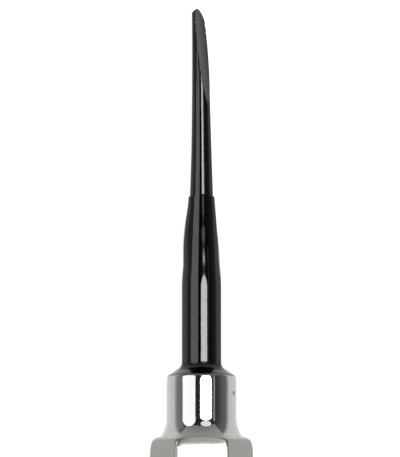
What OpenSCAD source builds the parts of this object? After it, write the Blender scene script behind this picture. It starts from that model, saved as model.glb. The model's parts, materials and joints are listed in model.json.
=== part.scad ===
// Dental elevator: a black-coated gouge blade and shank, brazed and cross-pinned into a
// turned neck, on a hollow six-sided handle made of two welded half shells and a butt plug.
//
// Every sub-part is drawn along the tool's own axis: the tip points to +Y, the neck's
// shoulder is at Y = 0 and one handle facet faces +Z. lay() then puts the whole tool down
// on its lower facet, with the origin on the ground under the middle of its length.

/* [Blade] */
// Distance from the neck's shoulder to the blade tip
tip_reach = 47.3; // [44:0.1:52]
// Diameter where the blade leaves the step at the end of the shank
blade_root_d = 3.0; // [2.6:0.05:3.2]
// Diameter close to the tip
blade_tip_d = 2.1; // [1.8:0.02:2.2]
// How quickly the blade slims down from its root, as a power of the distance to the tip
blade_slimming = 2.2; // [1.6:0.1:3]
// Sideways lean of the blade
blade_lean = 0.55; // [0:0.05:1.5]
// Direction that the ground face looks in, turned about the axis from straight up
face_turn = 51; // [0:1:90]
// Slope of the ground face along the blade
face_slope = 7.25; // [5:0.25:8]
// Distance back from the tip at which the bottom of the flute crosses the blade's axis
face_crossing = 3.1; // [1.8:0.1:3.6]
// Radius of the hollow ground along the face
flute_r = 6; // [4:0.5:12]
// Radius of each side of the pointed arch at the tip
arch_r = 2.0; // [1.4:0.1:3]
// Radius of the nose, seen from the side of the blade
nose_r = 0.7; // [0.6:0.05:0.9]

/* [Shank] */
// Diameter of the straight shank
shank_d = 5.08; // [4.6:0.02:5.4]
// Where the ground taper starts
taper_start = 11.8; // [8:0.1:13]
// Where the ground taper ends in a small step
taper_end = 22.9; // [21:0.1:24]
// Diameter at the end of the taper
taper_end_d = 3.36; // [3.3:0.02:3.8]
// How much the taper steepens towards its end, as a power of the distance along it
taper_bend = 1.35; // [1:0.05:1.6]
// Diameter of the tang inside the neck
tang_d = 4.0; // [3:0.1:4.4]
// Length of the tang behind the shoulder
tang_len = 17; // [10:1:19]

/* [Neck] */
// Diameter of the neck's straight part
neck_d = 9.0; // [8.6:0.1:9.2]
// Diameter of the flat front face that carries the braze
neck_face_d = 6.8; // [6.2:0.1:7]
// Angle between the shoulder's cone and the axis
shoulder_angle = 58; // [50:1:65]
// Radius that rounds the shoulder into the neck
shoulder_r = 0.5; // [0.3:0.05:0.6]
// Distance from the shoulder to the start of the flare
flare_start = 5.4; // [4.5:0.1:7]
// Radius of the flare, seen from the side
flare_r = 5.0; // [4.5:0.1:6]
// Angle that the flare turns through
flare_turn = 33.4; // [28:0.2:36]
// Diameter of the spigot inside the handle
spigot_d = 8.8; // [8:0.1:9]
// Distance from the shoulder to the spigot's rear end
spigot_end = 20; // [20:1:24]
// Radius of the braze fillet round the shank
braze_r = 1.0; // [0.8:0.05:1.1]

/* [Cross pin] */
// Diameter of the pin through the neck and the tang
pin_d = 0.6; // [0.5:0.1:1.2]
// Distance of the pin behind the shoulder
pin_back = 2.6; // [2:0.1:4.5]
// Direction of the pin, turned about the axis from straight up
pin_turn = 66; // [0:1:90]

/* [Handle] */
// Width across the flats at the front shoulder
front_flats = 11.45; // [11:0.05:12]
// Angle between each facet and the axis, and so the slope that the tool lies at
facet_angle = 2.0; // [1.5:0.1:2.4]
// Diameter of the flat front face around the neck's flare
shoulder_face_d = 10.66; // [10.6:0.02:10.7]
// Radius of the turned rounding outside that face
front_round_r = 1.3; // [1.25:0.05:1.4]
// Distance from the neck's shoulder to where the facets start to curve in
barrel_start = 70; // [64:1:74]
// Radius that the facets curve in with, towards the butt
barrel_r = 120; // [110:1:140]
// Distance from the neck's shoulder to the butt end
butt_reach = 103.4; // [100:0.1:106]
// Radius of the domed butt
butt_dome_r = 8; // [7.5:0.1:10]
// Thickness of the sheet that the shells are pressed from
wall = 0.9; // [0.7:0.05:1.2]

/* [Butt plug] */
// Diameter of the plug's head, flush with the dome
plug_head_d = 8.8; // [8.4:0.1:9.2]
// Diameter of the plug's spigot inside the shells
plug_spigot_d = 7.4; // [6.6:0.1:7.6]
// Length of the plug's spigot
plug_spigot_len = 5; // [4:0.5:6]

/* [Hidden] */
$fn = 96;

steel = "#c4c6c6";
black_coat = "#1c1e20";
braze = "#4a4b4d";

shank_r = shank_d / 2;
tang_r = tang_d / 2;
neck_r = neck_d / 2;

// The shoulder's cone runs back and out from the edge of the neck's front face
shoulder_turn_r = neck_r - shoulder_r;
shoulder_turn_y = -0.6;
cone_end = [shoulder_turn_r + shoulder_r * cos(shoulder_angle),
            shoulder_turn_y + shoulder_r * sin(shoulder_angle)];
neck_face_y = cone_end.y + (cone_end.x - neck_face_d / 2) / tan(shoulder_angle);

flare_end = flare_start + flare_r * sin(flare_turn);

// Facet height above the axis: a straight slope, then an arc tangent to it
front_round_y = -flare_end - front_round_r;
facet_slope = tan(facet_angle);
axis_facet_h = front_flats / 2 + front_round_y * facet_slope;
facet_out = [cos(facet_angle), sin(facet_angle)];
barrel_centre = [facet_h(-barrel_start), -barrel_start] - barrel_r * facet_out;

dome_centre = -butt_reach + butt_dome_r;
plug_seat = dome_centre - sqrt(butt_dome_r ^ 2 - (plug_head_d / 2) ^ 2);
plug_front = plug_seat + plug_spigot_len;

// Wide enough to hold the whole handle in any direction across its axis
reach = 30;

function facet_h(y) = axis_facet_h - y * facet_slope;

function arc(centre, r, from, to, steps = 12) =
    [for (i = [0:steps]) let (a = from + (to - from) * i / steps) centre + r * [cos(a), sin(a)]];

// Radius of the blade at a fraction u of the way from its root to its tip
function blade_r(u) =
    (blade_tip_d + (blade_root_d - blade_tip_d) * (1 - u) ^ blade_slimming) / 2;

// Radius of the shank at a fraction u of the way along its taper
function taper_r(u) = (shank_d - (shank_d - taper_end_d) * u ^ taper_bend) / 2;

// Puts the tool down on its lower facet
module lay() {
    middle = (tip_reach - butt_reach) / 2 * cos(facet_angle);
    translate([0, -middle, axis_facet_h * cos(facet_angle)])
        rotate([-facet_angle, 0, 0]) children();
}

// Turns an outline of [radius, y] points about the tool's axis
module turned(outline) {
    rotate([-90, 0, 0]) rotate_extrude() polygon(outline);
}

// A round rod along the axis, from y = back to y = front
module rod(r, back, front) {
    translate([0, back, 0]) rotate([-90, 0, 0]) cylinder(r = r, h = front - back);
}

// --- Blade and shank ---------------------------------------------------------------------

// The rod that the blade is ground from; it starts inside the shank
module blade_rod() {
    buried = 1;
    length = tip_reach - taper_end;
    steps = 12;
    turned(concat([[0, -buried], [blade_root_d / 2, -buried]],
                  [for (i = [0:steps]) [blade_r(i / steps), length * i / steps]],
                  [[0, length]]));
}

// The grinding wheel's sweep: a wide cylinder lying at the face's slope
module flute_cut() {
    length = 3 * flute_r;
    translate([0, tip_reach - taper_end - face_crossing, 0]) rotate([-face_slope, 0, 0])
        translate([0, 0, flute_r]) rotate([90, 0, 0])
            cylinder(r = flute_r, h = 2 * length, center = true);
}

// Everything behind y
module behind(y) {
    translate([-reach / 2, y - 2 * reach, -reach / 2]) cube([reach, 2 * reach, reach]);
}

// What the tip is trimmed to: a pointed arch seen square to the face, a nose seen from the side
module tip_outline() {
    length = tip_reach - taper_end;
    trim = 0.05;
    side = arch_r - (blade_tip_d / 2 + trim);
    arch_y = length - sqrt(arch_r ^ 2 - side ^ 2);
    nose_y = length - nose_r;
    nose_z = -0.45;
    intersection() {
        union() {
            intersection() {
                translate([side, arch_y, 0]) cylinder(r = arch_r, h = reach, center = true);
                translate([-side, arch_y, 0]) cylinder(r = arch_r, h = reach, center = true);
            }
            behind(arch_y);
        }
        union() {
            translate([0, nose_y, nose_z]) rotate([0, 90, 0])
                cylinder(r = nose_r, h = reach, center = true);
            behind(nose_y);
        }
    }
}

module blade() {
    translate([0, taper_end, 0]) rotate([0, face_turn, blade_lean]) intersection() {
        difference() {
            blade_rod();
            flute_cut();
        }
        tip_outline();
    }
}

// The tang, the straight shank and the taper, which ends in a flat step round the blade
module shank() {
    taper_len = taper_end - taper_start;
    steps = 3;
    turned(concat([[0, -tang_len], [tang_r, -tang_len], [tang_r, neck_face_y],
                   [shank_r, neck_face_y]],
                  [for (i = [0:steps]) [taper_r(i / steps), taper_start + taper_len * i / steps]],
                  [[0, taper_end]]));
}

module pin_hole() {
    translate([0, -pin_back, 0]) rotate([0, pin_turn, 0])
        cylinder(r = pin_d / 2, h = 2 * neck_d, center = true);
}

module blade_and_shank() {
    color(black_coat) lay() difference() {
        union() {
            shank();
            blade();
        }
        pin_hole();
    }
}

// --- Neck --------------------------------------------------------------------------------

// A hollow fillet that is tangent to the shank and carries on the slope of the shoulder's cone
module braze_fillet() {
    foot = neck_face_y;
    cone_on_shank = foot + (neck_face_d / 2 - shank_r) / tan(shoulder_angle);
    above_cone = braze_r * (sin(shoulder_angle)
                            - (1 - cos(shoulder_angle)) / tan(shoulder_angle));
    fillet_centre = [shank_r + braze_r, cone_on_shank + above_cone];
    color(braze) lay() turned(concat(
        [[shank_r, foot]],
        arc(fillet_centre, braze_r, 180, 180 + shoulder_angle),
        [[neck_face_d / 2, foot]]));
}

module neck_ferrule() {
    outline = concat(
        [[tang_r, neck_face_y], [neck_face_d / 2, neck_face_y]],
        arc([shoulder_turn_r, shoulder_turn_y], shoulder_r, shoulder_angle, 0),
        arc([neck_r + flare_r, -flare_start], flare_r, 180, 180 + flare_turn),
        [[spigot_d / 2, -flare_end], [spigot_d / 2, -spigot_end], [tang_r, -spigot_end]]);
    color(steel) lay() difference() {
        turned(outline);
        pin_hole();
    }
}

// The pin is dressed flush with the neck at both ends
module cross_pin() {
    color(steel) lay() intersection() {
        pin_hole();
        rod(neck_r, -flare_start, 0);
    }
}

// --- Handle ------------------------------------------------------------------------------

// Outline of what lies under one facet, inset from the outer surface
module facet_outline(inset) {
    front = 0;
    back = -butt_reach - 1;
    back_angle = asin((back - barrel_centre.y) / barrel_r);
    polygon(concat([[-reach, back], [-reach, front], [facet_h(front) - inset, front]],
                   arc(barrel_centre, barrel_r - inset, facet_angle, back_angle, 16)));
}

// What lies under the three upper facets and over a level floor, from back to front
module half_body(inset, front, back, floor_z) {
    intersection() {
        intersection_for (turn = [30, 90, 150])
            rotate([0, -turn, 0]) linear_extrude(height = 2 * reach, center = true)
                facet_outline(inset);
        translate([-reach, back, floor_z]) cube([2 * reach, front - back, reach]);
    }
}

// What the two ends are turned to: a rounded front shoulder and a domed butt
module turned_envelope() {
    translate([0, dome_centre, 0]) sphere(r = butt_dome_r);
    turned(concat([[0, dome_centre], [reach / 2, dome_centre], [reach / 2, front_round_y]],
                  arc([shoulder_face_d / 2, front_round_y], front_round_r, 0, 90, 8),
                  [[0, -flare_end]]));
}

// Where the neck's spigot and the butt plug go
module fitted_ends() {
    rod(spigot_d / 2, -spigot_end, 0);
    rod(plug_head_d / 2, -butt_reach - 1, plug_seat);
    rod(plug_spigot_d / 2, plug_seat - 1, plug_front);
}

// The shell over the seam, hollow between its solid front and the butt plug
module handle_shell() {
    solid_front = 4;
    cavity_front = -flare_end - solid_front;
    cavity_floor = -1;
    difference() {
        intersection() {
            half_body(0, -flare_end, -butt_reach, 0);
            turned_envelope();
        }
        half_body(wall, cavity_front, plug_front, cavity_floor);
        fitted_ends();
    }
}

module handle_shell_upper() {
    color(steel) lay() handle_shell();
}

module handle_shell_lower() {
    color(steel) lay() rotate([0, 180, 0]) handle_shell();
}

module butt_plug() {
    head_overlap = 0.2;
    color(steel) lay() {
        intersection() {
            translate([0, dome_centre, 0]) sphere(r = butt_dome_r);
            rod(plug_head_d / 2, -butt_reach, plug_seat);
        }
        rod(plug_spigot_d / 2, plug_seat - head_overlap, plug_front);
    }
}

blade_and_shank();
braze_fillet();
neck_ferrule();
cross_pin();
handle_shell_upper();
handle_shell_lower();
butt_plug();
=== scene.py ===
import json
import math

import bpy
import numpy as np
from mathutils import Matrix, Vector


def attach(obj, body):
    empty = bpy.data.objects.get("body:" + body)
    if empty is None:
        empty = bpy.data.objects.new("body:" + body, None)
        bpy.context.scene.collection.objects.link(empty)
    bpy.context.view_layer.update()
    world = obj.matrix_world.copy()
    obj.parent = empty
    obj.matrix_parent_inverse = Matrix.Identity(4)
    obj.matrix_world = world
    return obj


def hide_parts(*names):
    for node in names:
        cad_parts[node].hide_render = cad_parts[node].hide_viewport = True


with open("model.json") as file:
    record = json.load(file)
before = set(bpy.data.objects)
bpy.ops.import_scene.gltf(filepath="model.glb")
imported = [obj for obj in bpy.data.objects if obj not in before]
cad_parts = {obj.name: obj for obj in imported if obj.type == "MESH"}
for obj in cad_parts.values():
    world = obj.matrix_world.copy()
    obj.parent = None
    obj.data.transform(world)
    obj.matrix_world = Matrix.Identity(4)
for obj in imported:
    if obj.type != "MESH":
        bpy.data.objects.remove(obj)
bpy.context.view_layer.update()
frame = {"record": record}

# Dental elevator: a black-coated gouge on a turned steel neck and a hollow six-sided handle.
#
# Every piece is drawn in the tool's own frame, in millimetres: the tip points to +Y, the
# neck's shoulder is at Y = 0 and one handle facet faces +Z, towards the camera. "Behind" is
# towards -Y. TO_ROW then carries a finished mesh into the row frame, in metres.
# Directions round the axis are angles from +Z, positive towards +X.
# Lengths below are in millimetres and angles in degrees, unless a comment says otherwise.

MM = 0.001

# Farther out than any part of the tool: the distance of a surface that cuts nothing here
FAR = 50.0

# Blade: a rod that slims towards the tip and leans to the left, cut by a hollow ground face
TIP = 47.29
BLADE_START = 22.9
BLADE_ROOT_R = 1.5
BLADE_TIP_R = 1.08
BLADE_SLIMMING = 2.2
LEAN_START = 23.0
LEAN_FULL = 33.0
LEAN_SLOPE = 0.009

# The face looks in the direction FACE_TURN. Its lowest line crosses the axis FACE_CROSSING
# behind the tip. ARCH is the outline of the tip from there, NOSE the tip seen from the side.
FACE_TURN = 51
FACE_SLOPE = 7.25
FACE_CROSSING = 3.1
FLUTE_R = 6.0
ARCH_R = 2.0
ARCH_SIDE = 0.95
NOSE_DEPTH = -0.52
NOSE_HALF = 0.48
NOSE_LENGTH = 1.7

# Marks of the grinding wheel beside the left rim of the face, and a narrow flat behind them
CHATTER_START = 38.8
CHATTER_END = 41.6
CHATTER_FADE = 0.4
CHATTER_PITCH = 0.29
CHATTER_DEPTH = 0.045
CHATTER_SPREAD = 18
FLANK_START = 37.5
FLANK_RISE = 6.0
FLANK_TURN = -91
FLANK_DEPTH = 0.03

# Shank: straight, then tapered in passes that leave waves with a crest at PASS_CREST. The
# waves fade out over PASS_FADE, and the left side of the taper swells round SWELL_MIDDLE.
SHANK_R = 2.54
SHANK_END_R = 1.665
TAPER_START = 11.0
TAPER_BEND = 2.4
PASS_LENGTH = 6.2
PASS_CREST = 16.4
PASS_DEPTH = 0.024
PASS_FADE = (17.5, 20.5)
SWELL_MIDDLE = 17.8
SWELL_HALF = 4.2
SWELL_HEIGHT = 0.22
TANG_R = 2.0
TANG_END = -17.0

# Neck: a shoulder, a slight crown, a straight part and a flare; a spigot inside the handle
NECK_R = 4.5
NECK_FACE_R = 3.4
SHOULDER_ANGLE = 58
SHOULDER_R = 0.5
CROWN_R = 11.5
CROWN_START = -1.37
CROWN_TURN = 4
STRAIGHT_START = -1.6
FLARE_START = -5.7
FLARE_END = -8.15
FLARE_R = 4.03
SPIGOT_R = 4.4
SPIGOT_END = -20.0
BRAZE_R = 1.0

# The record's neck seat starts this far behind the shoulder, which places the tool's frame
SEAT_BEHIND_SHOULDER = 0.6

# Cross pin, with its gap to the hole and to the neck's surface
PIN_R = 0.3
PIN_Y = -2.6
PIN_TURN = 66
PIN_GAP = 0.02
PIN_SUNK = 0.03
PIN_EDGE = 0.05

# Handle: six facets that roll over in front, slope outwards and curve in to a domed butt.
# The neck's flare carries on for FLARE_OVERLAP over the front of the half shells.
FACET_ANGLE = 2.0
FRONT_FLATS = 11.45
FACE_R = 5.33
FRONT_ROUND_R = 1.3
ROLL_R = 5.2
ROLL_START = -9.65
FLARE_OVERLAP = 0.6
SOLID_FRONT = 4.0
BARREL_START = -70.0
BARREL_R = 120.0
BUTT = -103.39
DOME_R = 8.0
WALL = 0.9
SEAM_GAP = 0.006
PLUG_HEAD_R = 4.4
PLUG_SPIGOT_R = 3.7
PLUG_SPIGOT_LENGTH = 5.0
PLUG_GAP = 0.03

# The floor's bright pool: its middle, its stretch along the tool and its fading edge, in metres
POOL_MIDDLE_Y = 0.045
POOL_STRETCH = 1.35
POOL_EDGE = (0.030, 0.085)


def sin_deg(angle):
    return np.sin(np.radians(angle))


def cos_deg(angle):
    return np.cos(np.radians(angle))


def tan_deg(angle):
    return np.tan(np.radians(angle))


# --- Frames and meshes -------------------------------------------------------------------


def tool_to_row():
    """The matrix from the tool's own frame, in millimetres, to the row frame."""
    seat = next(m for m in frame["record"]["mounts"] if m["name"] == "neck_seat")
    side = Vector((1, 0, 0))
    along = Vector(seat["axis"]).normalized()
    up = side.cross(along)
    ahead = seat["dims"]["length_mm"] / 2 + SEAT_BEHIND_SHOULDER
    origin = Vector(seat["pos_m"]) + along * ahead * MM
    turn = Matrix((side, along, up)).transposed().to_4x4()
    return Matrix.Translation(origin) @ turn @ Matrix.Scale(MM, 4)


TO_ROW = tool_to_row()


def arc(centre, radius, start, end, steps=12):
    """Points (radius, y) on an arc, from one angle to another, in degrees."""
    angles = np.linspace(start, end, steps + 1)
    return [(centre[0] + radius * cos_deg(a), centre[1] + radius * sin_deg(a)) for a in angles]


def steps_between(*stretches):
    """Stations along the axis, from (start, end, spacing) stretches that follow each other."""
    parts = []
    for start, end, spacing in stretches:
        count = max(1, round(abs(end - start) / spacing))
        parts.append(np.linspace(start, end, count, endpoint=False))
    return np.concatenate(parts + [[stretches[-1][1]]])


def ring_at(y, turn, reach):
    """A ring of points in those directions round the axis, at that distance from it."""
    return np.stack([reach * np.sin(turn), np.full(len(turn), y), reach * np.cos(turn)], 1)


def circle(radius, y, count=192):
    """A round ring of evenly spaced points about the axis."""
    return ring_at(y, np.arange(count) * 2 * np.pi / count, radius)


def ring_faces(rings, count, joined):
    """Quads between neighbouring rings, and from the last to the first if they are joined."""
    faces = []
    for i in range(rings if joined else rings - 1):
        here = i * count
        there = (i + 1) % rings * count
        for j in range(count):
            k = (j + 1) % count
            faces.append((here + j, here + k, there + k, there + j))
    return faces


def new_piece(name, vertices, faces):
    """A smooth-shaded object from points in the tool's frame, with sharp edges kept sharp."""
    mesh = bpy.data.meshes.new(name)
    mesh.from_pydata([tuple(v) for v in vertices], [], faces)
    mesh.transform(TO_ROW)
    piece = bpy.data.objects.new(name, mesh)
    bpy.context.scene.collection.objects.link(piece)
    bpy.context.view_layer.objects.active = piece
    bpy.ops.object.mode_set(mode="EDIT")
    bpy.ops.mesh.select_all(action="SELECT")
    bpy.ops.mesh.normals_make_consistent(inside=False)
    bpy.ops.object.mode_set(mode="OBJECT")
    mesh.shade_smooth()
    mesh.set_sharp_from_angle(angle=math.radians(32))
    return piece


def tube(name, rings):
    """A closed skin through rings of equal size, with a fan over each end."""
    count = len(rings[0])
    vertices = np.concatenate(list(rings) + [[np.mean(rings[0], 0)], [np.mean(rings[-1], 0)]])
    faces = ring_faces(len(rings), count, joined=False)
    first, last = len(vertices) - 2, len(vertices) - 1
    rim = (len(rings) - 1) * count
    for j in range(count):
        k = (j + 1) % count
        faces.append((first, k, j))
        faces.append((last, rim + j, rim + k))
    return new_piece(name, vertices, faces)


def turned(name, outline, count=192, wobble=None):
    """A ring-shaped solid turned from a closed outline of (radius, y) points."""
    rings = [circle(radius, y, count) for radius, y in outline]
    vertices = np.concatenate(rings)
    if wobble:
        vertices = wobble(vertices)
    return new_piece(name, vertices, ring_faces(len(rings), count, joined=True))


def finish_piece(piece, replaced, slot, *materials):
    """Gives a piece its materials and its place in the frame, and hides the CAD node it stands
    for.
    """
    for material in materials:
        piece.data.materials.append(material)
    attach(piece, "root")
    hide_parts(replaced)


def cut(piece, cutter):
    """Takes the cutter out of the piece, and removes the cutter."""
    modifier = piece.modifiers.new("cut", "BOOLEAN")
    modifier.operation = "DIFFERENCE"
    modifier.solver = "EXACT"
    modifier.object = cutter
    bpy.context.view_layer.objects.active = piece
    bpy.ops.object.modifier_apply(modifier=modifier.name)
    bpy.data.objects.remove(cutter)


# --- Blade and shank ---------------------------------------------------------------------


def eased(y, start, end):
    """0 before start and 1 after end, with a smooth step between them."""
    share = np.clip((y - start) / (end - start), 0, 1)
    return share**2 * (3 - 2 * share)


def bent_line(y, start, bend):
    """Height at y of a line that is level up to start and bends, over bend, to a slope of 1."""
    return np.clip(y - start, 0, bend) ** 2 / (2 * bend) + np.maximum(y - start - bend, 0)


def shank_radius(y):
    """Radius of the shank: straight, then ground down in passes that leave slight waves."""
    fall = bent_line(y, TAPER_START, TAPER_BEND) / bent_line(BLADE_START, TAPER_START, TAPER_BEND)
    wave = PASS_DEPTH * np.cos(2 * np.pi * (y - PASS_CREST) / PASS_LENGTH)
    waved = eased(y, TAPER_START, TAPER_START + TAPER_BEND) * (1 - eased(y, *PASS_FADE))
    return SHANK_R - (SHANK_R - SHANK_END_R) * fall + wave * waved


def blade_radius(y):
    """Radius of the rod that the blade is ground from."""
    share = np.clip((y - BLADE_START) / (TIP - BLADE_START), 0, 1)
    return BLADE_TIP_R + (BLADE_ROOT_R - BLADE_TIP_R) * (1 - share) ** BLADE_SLIMMING


def blade_shift(y):
    """Sideways lean of the blade, from a smooth start."""
    return -LEAN_SLOPE * bent_line(y, LEAN_START, LEAN_FULL - LEAN_START)


# The flats that hand grinding left on the taper: direction, middle, half length and depth
GRINDING_FLATS = [
    (38, 15.6, 3.6, 0.030),
    (-37, 15.8, 4.0, 0.045),
    (-37, 20.6, 3.6, 0.045),
    (80, 14.6, 3.2, 0.050),
    (-84, 16.8, 3.4, 0.050),
    (54, 19.8, 3.0, 0.040),
    (-62, 20.6, 2.4, 0.040),
    (130, 15.0, 3.6, 0.060),
    (-140, 15.8, 3.8, 0.060),
    (178, 17.8, 4.2, 0.050),
    (108, 19.8, 2.8, 0.045),
    (-112, 20.2, 2.8, 0.045),
]


def front_relief(y, turn):
    """Extra depth to which the front is ground, so that it runs into the blade without a step."""
    share = np.clip((y - TAPER_START) / (BLADE_START - TAPER_START), 0, 1)
    off_front = np.abs(np.degrees(np.arctan2(np.sin(turn), np.cos(turn))))
    return (SHANK_END_R - BLADE_ROOT_R) * share**1.3 * (1 - eased(off_front, 30, 75))


def left_swell(y, turn):
    """Extra radius on the left of the taper, where less was ground away."""
    share = np.clip((y - SWELL_MIDDLE) / SWELL_HALF, -1, 1)
    return SWELL_HEIGHT * (1 - share**2) ** 2 * np.clip(-np.sin(turn), 0, 1) ** 7


def ground_shank(y, turn):
    """Distance from the axis to the shank's surface in each direction, flats included."""
    radius = shank_radius(y) + left_swell(y, turn)
    cuts = [radius - front_relief(y, turn)]
    for direction, middle, half_length, depth in GRINDING_FLATS:
        share = (y - middle) / half_length
        if abs(share) < 1:
            sunk = depth * (1 - share**2) ** 2
            facing = np.clip(np.cos(turn - math.radians(direction)), 0.05, 1)
            cuts.append((radius - sunk) / facing)
    return smallest(cuts, 900)


def smallest(distances, crispness):
    """The smallest of several distances in each direction, with softened corners."""
    least = np.min(distances, axis=0)
    return least * sum((d / least) ** -float(crispness) for d in distances) ** (-1 / crispness)


def rim_angle(y):
    """Half the angle that the ground face takes up round the blade, at least a narrow one."""
    depth = (TIP - FACE_CROSSING - y) * tan_deg(FACE_SLOPE)
    radius = blade_radius(y)
    rim = depth + radius**2 / (2 * FLUTE_R)
    actual = math.acos(min(1, max(-1, rim / radius)))
    return max(actual, math.radians(24))


def blade_angles(y, face_steps=40, back_steps=120):
    """Angles of a ring from the face's direction, closest together at the rims."""

    def crowded(steps):
        """Shares from 0 to 1, closest together at both ends."""
        share = np.arange(steps) / steps
        return share - 0.8 * np.sin(2 * np.pi * share) / (2 * np.pi)

    half = rim_angle(y)
    face = -half + 2 * half * crowded(face_steps)
    back = half + 2 * (np.pi - half) * crowded(back_steps)
    return np.concatenate([face, back])


def chatter(y, angle):
    """Depth of the grinder's chatter marks along the left rim of the ground face."""
    starting = eased(y, CHATTER_START, CHATTER_START + CHATTER_FADE)
    ending = eased(y, CHATTER_END - CHATTER_FADE, CHATTER_END)
    ends = starting * (1 - ending)
    if ends == 0:
        return 0
    beyond_rim = (2 * math.pi - rim_angle(y) - angle) / math.radians(CHATTER_SPREAD)
    beside = np.where(beyond_rim > 0, np.clip(1 - beyond_rim, 0, 1), 1)
    beside = np.where(angle < math.pi, 0, beside)
    scallop = math.sqrt(abs(math.sin(math.pi * y / CHATTER_PITCH)))
    return CHATTER_DEPTH * ends * beside * scallop


# The surfaces that bound a section of the blade. Each function gives the distance to one of
# them in each direction, from a centre on the face's own line of symmetry.


def rod_reach(y, angle, centre):
    """To the rod that the blade is ground from, with the chatter marks in it."""
    radius = blade_radius(y) - chatter(y, angle)
    past = centre * np.cos(angle)
    return -past + np.sqrt(past**2 - centre**2 + radius**2)


def flank_reach(y, angle, centre):
    """To the narrow flat ground along the left side of the blade."""
    if y <= FLANK_START:
        return np.full(len(angle), FAR)
    turn = math.radians(FLANK_TURN)
    depth = FLANK_DEPTH * eased(y, FLANK_START, FLANK_START + FLANK_RISE)
    straight = blade_radius(y) - depth - centre * math.cos(turn)
    return straight / np.maximum(np.cos(angle - turn), 0.02)


def flute_reach(y, angle, centre):
    """To the hollow ground face."""
    lowest = (TIP - FACE_CROSSING - y) * tan_deg(FACE_SLOPE)
    flute_centre = lowest + FLUTE_R - centre
    ahead = flute_centre * np.cos(angle)
    inside_root = ahead**2 - flute_centre**2 + FLUTE_R**2
    meets = (inside_root > 0) & (ahead > 0)
    return np.where(meets, ahead - np.sqrt(np.maximum(inside_root, 0)), FAR)


def arch_reach(y, angle):
    """To the two sides of the pointed arch that the tip is trimmed to."""
    arch_y = TIP - math.sqrt(ARCH_R**2 - ARCH_SIDE**2)
    if y <= arch_y:
        return np.full(len(angle), FAR)
    half = math.sqrt(max(ARCH_R**2 - (y - arch_y) ** 2, 0)) - ARCH_SIDE
    return max(half, 1e-4) / np.maximum(np.abs(np.sin(angle)), 1e-3)


def nose_reach(y, angle):
    """To the top and bottom of the rounded nose, seen from the side."""
    into_nose = (y - TIP) / NOSE_LENGTH + 1
    if into_nose <= 0:
        return np.full(len(angle), FAR)
    half = NOSE_HALF * math.sqrt(max(1 - into_nose**2, 0))
    return max(half, 1e-4) / np.maximum(np.abs(np.cos(angle)), 1e-3)


def blade_ring(y):
    """One ring of the blade, and which of its points lie on the ground face."""
    angle = blade_angles(y)
    centre = NOSE_DEPTH * eased(y, 40, TIP)
    rod = rod_reach(y, angle, centre)
    flank = flank_reach(y, angle, centre)
    flute = flute_reach(y, angle, centre)
    arch_sides = arch_reach(y, angle)
    nose = nose_reach(y, angle)
    reach = smallest([rod, flank, flute, arch_sides, nose], 45)
    across = reach * np.sin(angle)
    towards = centre + reach * np.cos(angle)
    turn = math.radians(FACE_TURN)
    x = across * math.cos(turn) + towards * math.sin(turn) + blade_shift(y)
    z = towards * math.cos(turn) - across * math.sin(turn)
    on_face = flute < np.minimum(np.minimum(rod, arch_sides), nose)
    return np.stack([x, np.full(len(x), y), z], 1), on_face


def shank_ring(y):
    """One ring of the shank, its points lined up with the blade's."""
    turn = blade_angles(y) + math.radians(FACE_TURN)
    return ring_at(y, turn, ground_shank(y, turn))


def tang_ring(y, radius):
    """One round ring, its points lined up with the blade's."""
    return ring_at(y, blade_angles(y) + math.radians(FACE_TURN), radius)


def tip_stations(start, end, count):
    """Stations that crowd towards the end, as a rounded end needs."""
    share = np.arange(count) / count
    return start + (end - start) * np.sin(share * np.pi / 2)


def make_blade_and_shank():
    """Tang, shank and blade in one skin, the ground face in the second of two materials.

    Its stations are closest together at the chatter marks and at the tip.
    """
    edge = 0.12
    step_y = neck_face_y()
    rings = [tang_ring(TANG_END, TANG_R - edge), tang_ring(TANG_END + edge, TANG_R)]
    rings += [tang_ring(step_y - edge, TANG_R), tang_ring(step_y, SHANK_R)]
    rings += [shank_ring(y) for y in steps_between((0.5, 10, 0.8), (10, BLADE_START - 0.15, 0.12))]
    blade_y = np.concatenate([
        np.arange(BLADE_START, 33, 0.2),
        np.arange(33, 38.6, 0.05),
        np.arange(38.6, 41.8, 0.02),
        np.arange(41.8, 45.4, 0.045),
        tip_stations(45.4, TIP - 0.0005, 60),
    ])
    on_face = []
    start = len(rings)
    for y in blade_y:
        ring, face = blade_ring(y)
        rings.append(ring)
        on_face.append(face)
    piece = tube("ground_blade_and_shank", rings)
    count = len(rings[0])
    for polygon in piece.data.polygons:
        row, column = divmod(polygon.index, count)
        row -= start
        if 0 <= row < len(on_face) - 1:
            after = (column + 1) % count
            corners = [on_face[row][column], on_face[row][after],
                       on_face[row + 1][column], on_face[row + 1][after]]
            polygon.material_index = int(sum(corners) >= 3)
    return piece


# --- Neck --------------------------------------------------------------------------------


def shoulder_centre():
    """Centre of the shoulder's rounding, which carries on from the neck's slight crown."""
    reach = CROWN_R - SHOULDER_R
    return (NECK_R - CROWN_R + reach * cos_deg(CROWN_TURN),
            CROWN_START + reach * sin_deg(CROWN_TURN))


def neck_face_y():
    """Where the shoulder's cone reaches the edge of the neck's flat front face."""
    centre_r, centre_y = shoulder_centre()
    cone_r = centre_r + SHOULDER_R * cos_deg(SHOULDER_ANGLE)
    cone_y = centre_y + SHOULDER_R * sin_deg(SHOULDER_ANGLE)
    return cone_y + (cone_r - NECK_FACE_R) / tan_deg(SHOULDER_ANGLE)


def flare_radius(y):
    """Radius of the arc in which the neck widens towards the handle."""
    return NECK_R + FLARE_R - math.sqrt(FLARE_R**2 - (FLARE_START - y) ** 2)


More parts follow.
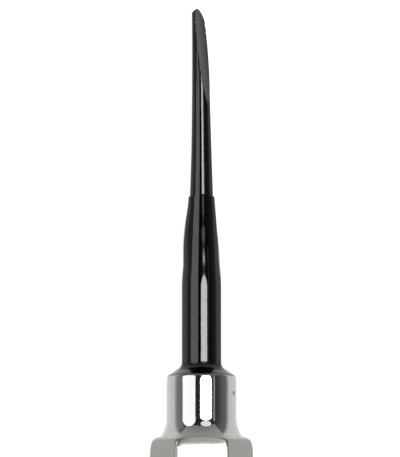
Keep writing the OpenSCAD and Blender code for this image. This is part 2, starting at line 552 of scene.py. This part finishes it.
def make_neck():
    """The turned neck, bored for the tang and drilled for the pin."""
    edge = 0.3
    face_y = neck_face_y()
    outline = [(TANG_R, face_y), (NECK_FACE_R, face_y)]
    outline += arc(shoulder_centre(), SHOULDER_R, SHOULDER_ANGLE, CROWN_TURN, 14)
    outline += arc((NECK_R - CROWN_R, CROWN_START), CROWN_R, CROWN_TURN, 0, 10)[1:]
    outline += [(NECK_R, y) for y in np.linspace(STRAIGHT_START, FLARE_START + 0.1, 20)]
    outline += [(flare_radius(y), y) for y in np.linspace(FLARE_START, FLARE_END, 60)]
    outline += [(SPIGOT_R, FLARE_END), (SPIGOT_R, SPIGOT_END + edge)]
    outline += [(SPIGOT_R - edge, SPIGOT_END), (TANG_R, SPIGOT_END)]
    neck = turned("turned_neck", outline, 240)
    cut(neck, cross_rod("pin_hole_cutter", [(PIN_R + PIN_GAP, NECK_R + 1)]))
    return neck


def cross_rod(name, end):
    """A rod across the neck in the pin's direction.

    end is the outline of one of its two equal ends, as (radius, distance from the axis).
    """
    outline = [(radius, -z) for radius, z in reversed(end)] + end
    turn = np.arange(32) * 2 * np.pi / 32
    across, along = sin_deg(PIN_TURN), cos_deg(PIN_TURN)
    rings = []
    for radius, z in outline:
        u, v = radius * np.cos(turn), radius * np.sin(turn)
        rings.append(np.stack([z * across + u * along, PIN_Y + v, z * along - u * across], 1))
    return tube(name, rings)


def make_pin():
    """The cross pin, its ends dressed flush with the neck and slightly rounded."""
    radius = PIN_R - PIN_GAP
    half_length = NECK_R - PIN_SUNK
    end = arc((radius - PIN_EDGE, half_length - PIN_EDGE), PIN_EDGE, 0, 90, 8)
    return cross_rod("dressed_pin", end)


def braze_wobble(vertices):
    """Small unevenness where the braze has flowed, fading out at the turned face."""
    turn = np.arctan2(vertices[:, 0], vertices[:, 2])
    height = np.clip((vertices[:, 1] - neck_face_y()) / 0.9, 0, 1)
    swell = 0.03 * np.sin(3 * turn + 0.7) + 0.02 * np.sin(7 * turn + 2.1)
    moved = vertices.copy()
    moved[:, 1] += swell * height
    return moved


def make_braze():
    """The fillet: tangent to the shank, and in line with the shoulder's cone at its foot."""
    foot = neck_face_y()
    cone_on_shank = foot + (NECK_FACE_R - SHANK_R) / tan_deg(SHOULDER_ANGLE)
    rise = (1 - cos_deg(SHOULDER_ANGLE)) / tan_deg(SHOULDER_ANGLE)
    centre = (SHANK_R + BRAZE_R,
              cone_on_shank + BRAZE_R * (sin_deg(SHOULDER_ANGLE) - rise))
    outline = [(SHANK_R, foot)]
    outline += arc(centre, BRAZE_R, 180, 180 + SHOULDER_ANGLE, 20)
    outline += [(NECK_FACE_R, foot)]
    return turned("braze_bead", outline, 192, braze_wobble)


# --- Handle ------------------------------------------------------------------------------

FRONT_ROUND_Y = FLARE_END - FRONT_ROUND_R
DOME_Y = BUTT + DOME_R
PLUG_SEAT = DOME_Y - math.sqrt(DOME_R**2 - PLUG_HEAD_R**2)
PLUG_FRONT = PLUG_SEAT + PLUG_SPIGOT_LENGTH


def slope_height(y):
    """Distance from the axis to a facet's straight slope."""
    return FRONT_FLATS / 2 + (FRONT_ROUND_Y - y) * tan_deg(FACET_ANGLE)


def bend_height(y, start, radius):
    """Distance from the axis to an arc that leaves the slope at start, and its tangent there."""
    centre_h = slope_height(start) - radius * cos_deg(FACET_ANGLE)
    centre_y = start - radius * sin_deg(FACET_ANGLE)
    return centre_h + math.sqrt(radius**2 - (y - centre_y) ** 2)


def facet_height(y):
    """Distance from the axis to a facet: rolled over in front, sloping, then barrelled.

    The neck's flare carries on over the front of the shells until it meets the roll.
    """
    if y > ROLL_START:
        flare = flare_radius(max(y, FLARE_END - FLARE_OVERLAP))
        return min(bend_height(y, ROLL_START, ROLL_R), flare)
    if y < BARREL_START:
        return bend_height(y, BARREL_START, BARREL_R)
    return slope_height(y)


def envelope_radius(y):
    """Radius of the turned ends of the handle: a rounded front and a domed butt."""
    if y > FRONT_ROUND_Y:
        return FACE_R + math.sqrt(max(FRONT_ROUND_R**2 - (y - FRONT_ROUND_Y) ** 2, 0))
    if y < DOME_Y:
        return math.sqrt(max(DOME_R**2 - (y - DOME_Y) ** 2, 0))
    return FAR


def facet_reach(height, turn, crispness=80):
    """Distance from the axis to the six-sided outline, with slightly softened corners."""
    facets = [height / np.maximum(np.cos(turn - math.radians(a)), 0.02)
              for a in (-120, -60, 0, 60, 120)]
    return smallest(facets, crispness)


def shell_angles():
    """Directions of a half shell's points, closest together at the facets' corners."""
    share = np.arange(24) / 24
    crowded = share - 0.75 * np.sin(2 * np.pi * share) / (2 * np.pi)
    starts = (-90, -30, 30)
    return np.radians(np.concatenate([start + 60 * crowded for start in starts] + [[90.0]]))


def shell_inside(y):
    """Distance from the axis to the shell's inner surface in each direction."""
    turn = shell_angles()
    if y > FLARE_END - SOLID_FRONT:
        return np.full(len(turn), SPIGOT_R)
    if y < PLUG_SEAT:
        return np.full(len(turn), PLUG_HEAD_R)
    if y < PLUG_FRONT:
        return np.full(len(turn), PLUG_SPIGOT_R)
    return facet_reach(facet_height(y) - WALL, turn)


def shell_ring(y):
    """One closed loop round the section of the upper half shell."""
    turn = shell_angles()
    envelope = np.full(len(turn), envelope_radius(y))
    outer = smallest([facet_reach(facet_height(y), turn), envelope], 60)
    inner = shell_inside(y)
    loop_turn = np.concatenate([turn, turn[::-1]])
    loop_reach = np.concatenate([outer, inner[::-1]])
    ring = ring_at(y, loop_turn, loop_reach)
    ring[:, 2] = np.maximum(ring[:, 2], SEAM_GAP)
    return ring


def shell_stations():
    """Stations along the handle, crowded at its two rounded ends."""
    front = FLARE_END - (FLARE_END - ROLL_START) * (1 - np.cos(np.linspace(0, np.pi / 2, 44)))
    middle = steps_between((front[-1] - 0.3, -60, 1.2), (-60, DOME_Y, 0.8))
    dome_turn = np.linspace(0, math.acos(PLUG_HEAD_R / DOME_R), 36)[1:]
    dome = DOME_Y - DOME_R * np.sin(dome_turn)
    return np.concatenate([front, middle, dome])


def make_shell(name, under):
    """Half of the handle: the upper shell, or the same one turned over."""
    rings = [shell_ring(y) for y in shell_stations()]
    count = len(rings[0])
    half = count // 2
    vertices = np.concatenate(rings)
    if under:
        vertices = vertices * np.array([-1, 1, -1])
    faces = ring_faces(len(rings), count, joined=False)
    for rim in (0, (len(rings) - 1) * count):
        for j in range(half - 1):
            faces.append((rim + j, rim + j + 1, rim + count - 2 - j, rim + count - 1 - j))
    return new_piece(name, vertices, faces)


def make_plug():
    """The butt plug: a domed head flush with the shells, on a spigot."""
    edge = 0.15
    head_depth = 0.2
    spigot_edge = 0.4
    head_r = PLUG_HEAD_R - PLUG_GAP
    spigot_r = PLUG_SPIGOT_R - PLUG_GAP
    limit = math.degrees(math.acos((head_r - edge) / DOME_R))
    outline = arc((0, DOME_Y), DOME_R, -89.6, -limit, 24)
    outline += [(head_r, PLUG_SEAT + 0.06), (head_r, PLUG_SEAT + head_depth)]
    outline += [(spigot_r, PLUG_SEAT + head_depth), (spigot_r, PLUG_FRONT - spigot_edge)]
    outline += [(PLUG_SPIGOT_R - spigot_edge, PLUG_FRONT)]
    return tube("domed_plug", [circle(radius, y, 96) for radius, y in outline])


# --- Materials ---------------------------------------------------------------------------


class Shader:
    """A material's node tree, built up one node at a time.

    The settings are inputs of its Principled BSDF, with "_" for the space in their names.
    """

    def __init__(self, name, **settings):
        self.material = bpy.data.materials.new(name)
        self.material.use_nodes = True
        self.tree = self.material.node_tree
        self.surface = self.tree.nodes["Principled BSDF"]
        for key, value in settings.items():
            self.surface.inputs[key.replace("_", " ")].default_value = value

    def plug(self, node, key, value):
        """Gives a node's input a value, or links it to another node's output."""
        if isinstance(value, bpy.types.NodeSocket):
            self.tree.links.new(value, node.inputs[key])
        else:
            node.inputs[key].default_value = value

    def add(self, kind, inputs, **settings):
        """A new node of that kind, with its settings and inputs filled in."""
        node = self.tree.nodes.new("ShaderNode" + kind)
        for key, value in settings.items():
            setattr(node, key, value)
        for key, value in inputs.items():
            self.plug(node, key, value)
        return node

    def place(self, stretch=(1, 1, 1)):
        """Coordinates in the tool's own frame, in millimetres, divided by stretch."""
        where = self.add("TexCoord", {}).outputs["Object"]
        back = TO_ROW.inverted()
        in_tool = self.add("Mapping", {
            "Vector": where, "Location": back.to_translation(),
            "Rotation": back.to_euler(), "Scale": back.to_scale(),
        }).outputs["Vector"]
        squeeze = [1 / s for s in stretch]
        return self.add("Mapping", {"Vector": in_tool, "Scale": squeeze}).outputs["Vector"]

    def along(self, low, high, to_low, to_high):
        """A value that goes from to_low to to_high along the tool, between two stations."""
        split = self.add("SeparateXYZ", {"Vector": self.place()})
        return self.between(split.outputs["Y"], low, high, to_low, to_high)

    def noise(self, scale, stretch=(1, 1, 1), detail=3.0, roughness=0.5):
        """Noise with that many features in a millimetre, stretched along the three axes."""
        inputs = {"Vector": self.place(stretch), "Scale": scale, "Detail": detail,
                  "Roughness": roughness}
        return self.add("TexNoise", inputs).outputs["Fac"]

    def between(self, value, low, high, to_low, to_high, kind="LINEAR"):
        """Maps value from low..high to to_low..to_high, and holds it there outside."""
        inputs = {"Value": value, "From Min": low, "From Max": high,
                  "To Min": to_low, "To Max": to_high}
        return self.add("MapRange", inputs, interpolation_type=kind).outputs["Result"]

    def blend(self, factor, first, second):
        """A mix of two colours, each a triple or another node's colour."""
        node = self.add("Mix", {"Factor": factor}, data_type="RGBA")
        for place, colour in ((6, first), (7, second)):
            self.plug(node, place, (*colour, 1) if isinstance(colour, tuple) else colour)
        return node.outputs[2]

    def bump(self, height, depth, below=None):
        """A bump of that many micrometres, on top of an earlier one."""
        inputs = {"Height": height, "Distance": depth * 1e-6, "Strength": 1.0}
        if below is not None:
            inputs["Normal"] = below
        return self.add("Bump", inputs).outputs["Normal"]


NECK_COLOUR = (0.385, 0.39, 0.385)


def black_coat():
    """Glossy black hard coat: slightly uneven, with fine lengthwise buffing and specks."""
    shader = Shader("glossy_black_coat", Metallic=1.0, Specular_Tint=(0.6, 0.6, 0.6, 1))
    streaks = shader.noise(5.0, stretch=(1, 14, 1), detail=4)
    mottle = shader.noise(1.6, stretch=(1, 2, 1), detail=5, roughness=0.65)
    specks = shader.noise(9.0, detail=2)
    surface = shader.surface
    shader.plug(surface, "Base Color", shader.blend(
        shader.between(mottle, 0.35, 0.7, 0, 1), (0.034, 0.036, 0.038), (0.044, 0.043, 0.041)))
    shader.plug(surface, "Roughness", shader.between(mottle, 0.3, 0.75, 0.04, 0.12))
    normal = shader.bump(streaks, 1.2)
    normal = shader.bump(shader.between(specks, 0.62, 0.75, 0, 1), 0.8, normal)
    shader.plug(surface, "Normal", shader.bump(mottle, 4.0, normal))
    return shader.material


def satin_face():
    """The ground face under the coat: satin, with fine grinding lines across the blade."""
    shader = Shader("satin_ground_face", Metallic=0.0, IOR=1.5)
    lines = shader.noise(14.0, stretch=(3, 0.6, 3), detail=2)
    clouds = shader.noise(0.8, detail=3)
    surface = shader.surface
    shader.plug(surface, "Base Color", shader.blend(
        clouds, (0.010, 0.014, 0.020), (0.017, 0.022, 0.029)))
    shader.plug(surface, "Roughness", shader.between(lines, 0.3, 0.7, 0.24, 0.36))
    shader.plug(surface, "Normal", shader.bump(lines, 1.5))
    return shader.material


def polished_steel(name, colour, lines_stretch, roughness, line_depth, ahead):
    """Stainless steel with fine buffing lines in one direction and a few faint clouds.

    ahead is the stretch of the tool over which the steel turns to another colour, and that
    colour: (start, end, colour).
    """
    shader = Shader(name, Metallic=1.0)
    lines = shader.noise(7.0, stretch=lines_stretch, detail=4, roughness=0.6)
    clouds = shader.noise(0.35, detail=3)
    surface = shader.surface
    steel = shader.blend(clouds, colour, tuple(c * 1.12 for c in colour))
    start, end, other = ahead
    # On the neck this paints a dark reflection over the front cone; on the handle it gives the
    # neck's own colour over the flare
    steel = shader.blend(shader.along(start, end, 0, 1), steel, other)
    shader.plug(surface, "Base Color", steel)
    shader.plug(surface, "Roughness",
                shader.between(lines, 0.3, 0.75, roughness * 0.9, roughness * 1.1))
    normal = shader.bump(lines, line_depth)
    shader.plug(surface, "Normal", shader.bump(clouds, 6.0, normal))
    return shader.material


def braze_metal():
    """Braze that has darkened: the black coat ends on it, over a dull grey foot."""
    shader = Shader("darkened_braze", Metallic=1.0, Specular_Tint=(0.6, 0.6, 0.6, 1))
    flow = shader.noise(1.5, detail=4)
    foot = shader.blend(flow, (0.028, 0.03, 0.033), (0.05, 0.05, 0.05))
    surface = shader.surface
    shader.plug(surface, "Base Color", shader.blend(
        shader.along(0.45, 1.0, 0, 1), foot, (0.03, 0.031, 0.032)))
    shader.plug(surface, "Roughness", shader.between(flow, 0.3, 0.7, 0.10, 0.22))
    shader.plug(surface, "Normal", shader.bump(flow, 12.0))
    return shader.material


def pin_metal():
    """The pin's dressed ends: darker steel with coarse filing lines."""
    shader = Shader("dressed_pin_steel", Metallic=1.0)
    filing = shader.noise(8.0, stretch=(1, 4, 1), detail=2)
    surface = shader.surface
    shader.plug(surface, "Base Color", shader.blend(
        filing, (0.14, 0.12, 0.115), (0.28, 0.26, 0.25)))
    shader.plug(surface, "Roughness", shader.between(filing, 0.3, 0.7, 0.25, 0.45))
    shader.plug(surface, "Normal", shader.bump(filing, 3.0))
    return shader.material


# --- Stage -------------------------------------------------------------------------------


def make_floor():
    """A plain pale floor that gives off light, most of it round the working end."""
    half = 3.0
    mesh = bpy.data.meshes.new("floor")
    corners = [(-half, -half, 0), (half, -half, 0), (half, half, 0), (-half, half, 0)]
    mesh.from_pydata(corners, [], [(0, 1, 2, 3)])
    floor = bpy.data.objects.new("floor", mesh)
    bpy.context.scene.collection.objects.link(floor)
    shader = Shader("pale_floor", Base_Color=(0.25, 0.25, 0.25, 1), Roughness=0.9,
                    Emission_Color=(1, 1, 1, 1), Specular_IOR_Level=0.0)
    where = shader.add("TexCoord", {}).outputs["Object"]
    from_middle = shader.add("Mapping", {
        "Vector": where,
        "Location": (0, -POOL_MIDDLE_Y / POOL_STRETCH, 0),
        "Scale": (1, 1 / POOL_STRETCH, 0),
    })
    away = shader.add("VectorMath", {0: from_middle.outputs["Vector"]}, operation="LENGTH")
    shader.plug(shader.surface, "Emission Strength",
                shader.between(away.outputs["Value"], *POOL_EDGE, 0.86, 0.35, "SMOOTHSTEP"))
    floor.data.materials.append(shader.material)


def facing(target, place):
    """The row-frame matrix of a camera or light at place that faces target, upright along Y."""
    out = (place - target).normalized()
    side = Vector((0, 1, 0)).cross(out).normalized()
    turn = Matrix((side, out.cross(side), out)).transposed().to_4x4()
    rotation = TO_ROW.to_3x3().normalized().to_4x4()
    return Matrix.Translation(TO_ROW @ place) @ rotation @ turn


def flat_light(name, shape, target, place, width, length, radiance):
    """A rectangular or elliptical light of that radiance, hidden from the camera itself."""
    data = bpy.data.lights.new(name, "AREA")
    data.shape = shape
    data.size = width * MM
    data.size_y = length * MM
    share = math.pi / 4 if shape == "ELLIPSE" else 1
    data.energy = radiance * math.pi * share * data.size * data.size_y
    light = bpy.data.objects.new(name, data)
    bpy.context.scene.collection.objects.link(light)
    light.matrix_world = facing(target, place)
    light.visible_camera = False


def softbox(name, shape, turns, reach, radiance, distance=500.0):
    """A light beside the camera that faces the tool's axis.

    turns are the directions round the axis of its two sides, and reach its two ends along it.
    """
    middle = math.radians(sum(turns) / 2)
    width = 2 * distance * math.tan(math.radians(turns[1] - turns[0]) / 2)
    target = Vector((0, sum(reach) / 2, 0))
    place = target + distance * Vector((math.sin(middle), 0, math.cos(middle)))
    flat_light(name, shape, target, place, width, reach[1] - reach[0], radiance)


def end_light(name, tilts, width, radiance, distance=500.0):
    """A light beyond the tip that faces the neck, between two tilts from straight above."""
    middle = math.radians(sum(tilts) / 2)
    length = 2 * distance * math.tan(math.radians(tilts[1] - tilts[0]) / 2)
    place = distance * Vector((0, math.sin(middle), math.cos(middle)))
    flat_light(name, "RECTANGLE", Vector((0, 0, 0)), place, width, length, radiance)


def make_lights():
    """Bright softboxes beside the camera, and dimmer lights round them."""
    softbox("left_softbox", "ELLIPSE", (-65, -20), (-170, 345), 2.3)
    softbox("right_softbox", "ELLIPSE", (-3.5, 32.5), (-87, 134), 13.0)
    softbox("right_tip_softbox", "ELLIPSE", (-3.5, 32.5), (165, 385), 1.7)
    softbox("right_edge_strip", "RECTANGLE", (39.5, 44.5), (-87, 150), 0.55)
    softbox("left_fill", "RECTANGLE", (-102, -65), (-250, 390), 0.12)
    end_light("tip_fill", (36, 90), 900, 0.36)


def make_world():
    """Soft room light: dim overhead and paler towards the horizon."""
    world = bpy.data.worlds.new("studio")
    world.use_nodes = True
    bpy.context.scene.world = world
    nodes, links = world.node_tree.nodes, world.node_tree.links
    where = nodes.new("ShaderNodeTexCoord")
    split = nodes.new("ShaderNodeSeparateXYZ")
    ramp = nodes.new("ShaderNodeMapRange")
    ramp.interpolation_type = "SMOOTHSTEP"
    ramp.inputs["From Min"].default_value = 0.0
    ramp.inputs["From Max"].default_value = 0.85
    ramp.inputs["To Min"].default_value = 0.28
    ramp.inputs["To Max"].default_value = 0.035
    links.new(where.outputs["Generated"], split.inputs[0])
    links.new(split.outputs["Z"], ramp.inputs["Value"])
    nodes["Background"].inputs["Color"].default_value = (1, 1, 1, 1)
    links.new(ramp.outputs["Result"], nodes["Background"].inputs["Strength"])


def make_camera():
    """Over the middle of the whole tool, looking at its working end, tip at the top."""
    data = bpy.data.cameras.new("camera")
    data.lens = 300
    data.sensor_width = 36
    data.clip_end = 10
    camera = bpy.data.objects.new("camera", data)
    bpy.context.scene.collection.objects.link(camera)
    view_height = 58.8
    distance = view_height * data.lens / data.sensor_width
    target = Vector((-0.20, 18.68, 0))
    behind = target.y - (TIP + BUTT) / 2
    place = target + Vector((0, -behind, math.sqrt(distance**2 - behind**2)))
    camera.matrix_world = facing(target, place)
    bpy.context.scene.camera = camera


# --- The whole tool ----------------------------------------------------------------------


def build():
    """Makes every piece, in its materials.

    The neck's steel is coloured nearly black over its front cone: a painted dark reflection.
    The handle's has the neck's colour where the flare carries on over the shells.
    """
    # Painted dark reflection: the neck's steel turns nearly black over its front cone
    cone_painted_reflection = (-0.5, -0.25, (0.035, 0.037, 0.038))
    flare_colouring = (FLARE_END - 0.5, FLARE_END - 0.2, NECK_COLOUR)
    coat = black_coat()
    neck_steel = polished_steel(
        "turned_steel", NECK_COLOUR, (4, 0.5, 4), 0.07, 0.15, cone_painted_reflection)
    handle_steel = polished_steel(
        "buffed_steel", (0.25, 0.244, 0.224), (1, 8, 1), 0.25, 0.1, flare_colouring)
    finish_piece(make_blade_and_shank(), "blade_and_shank", "black_coat", coat, satin_face())
    finish_piece(make_braze(), "braze_fillet", "braze", braze_metal())
    finish_piece(make_neck(), "neck_ferrule", "polished_steel", neck_steel)
    finish_piece(make_pin(), "cross_pin", "pin_steel", pin_metal())
    for name, under in (("upper", False), ("lower", True)):
        shell = make_shell(f"hex_shell_{name}", under)
        finish_piece(shell, f"handle_shell_{name}", "polished_steel", handle_steel)
    finish_piece(make_plug(), "butt_plug", "polished_steel", neck_steel)


build()
make_floor()
make_lights()
make_world()
make_camera()
bpy.context.scene.view_settings.view_transform = "Standard"
